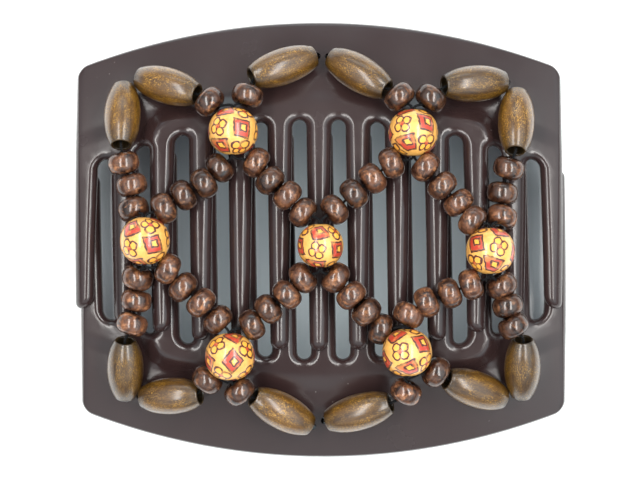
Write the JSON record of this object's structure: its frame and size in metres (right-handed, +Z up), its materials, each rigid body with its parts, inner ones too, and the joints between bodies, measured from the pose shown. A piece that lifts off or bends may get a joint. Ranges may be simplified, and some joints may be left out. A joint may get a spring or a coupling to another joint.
{
  "type": "butterfly hair comb",
  "caption": "Wide hair clasp of two curved moulded combs, one laid over the other, joined across the front by an elastic net of wooden beads.",
  "frame": {"origin": "middle of the bounding box, on the surface that the comb lies on", "axes": "+X along the spines, +Y from the lower comb's spine to the upper comb's, +Z up out of the beaded front"},
  "size_m": [0.1172, 0.1042, 0.0284],
  "materials": {
    "comb": "dark brown, glossy",
    "printed_wood": "printed and lacquered",
    "oval_wood": "stained olive brown, lacquered",
    "rondelle_wood": "stained dark brown, lacquered",
    "elastic": "black covered elastic"
  },
  "bodies": {
    "root": {"comb_upper": "comb", "comb_lower": "comb", "print_bead_top_left": "printed_wood", "print_bead_top_right": "printed_wood", "print_bead_left": "printed_wood", "print_bead_centre": "printed_wood", "print_bead_right": "printed_wood", "print_bead_bottom_left": "printed_wood", "print_bead_bottom_right": "printed_wood", "oval_bead_01": "oval_wood", "oval_bead_02": "oval_wood", "oval_bead_03": "oval_wood", "oval_bead_04": "oval_wood", "oval_bead_05": "oval_wood", "oval_bead_06": "oval_wood", "oval_bead_07": "oval_wood", "oval_bead_08": "oval_wood", "oval_bead_09": "oval_wood", "oval_bead_10": "oval_wood", "oval_bead_11": "oval_wood", "oval_bead_12": "oval_wood", "spacer_bead_1": "rondelle_wood", "spacer_bead_2": "rondelle_wood", "spacer_bead_3": "rondelle_wood", "spacer_bead_4": "rondelle_wood", "spacer_bead_5": "rondelle_wood", "spacer_bead_6": "rondelle_wood", "spacer_bead_7": "rondelle_wood", "spacer_bead_8": "rondelle_wood", "strand_left_up": "rondelle_wood", "strand_left_down": "rondelle_wood", "strand_right_up": "rondelle_wood", "strand_right_down": "rondelle_wood", "strand_left_to_top": "rondelle_wood", "strand_top_to_centre": "rondelle_wood", "strand_centre_to_top": "rondelle_wood", "strand_top_to_right": "rondelle_wood", "strand_right_to_bottom": "rondelle_wood", "strand_bottom_to_centre": "rondelle_wood", "strand_centre_to_bottom": "rondelle_wood", "strand_bottom_to_left": "rondelle_wood", "elastic_top_left": "elastic", "elastic_top_centre": "elastic", "elastic_top_right": "elastic", "elastic_bottom_left": "elastic", "elastic_bottom_centre": "elastic", "elastic_bottom_right": "elastic"}
  },
  "joints": []
}
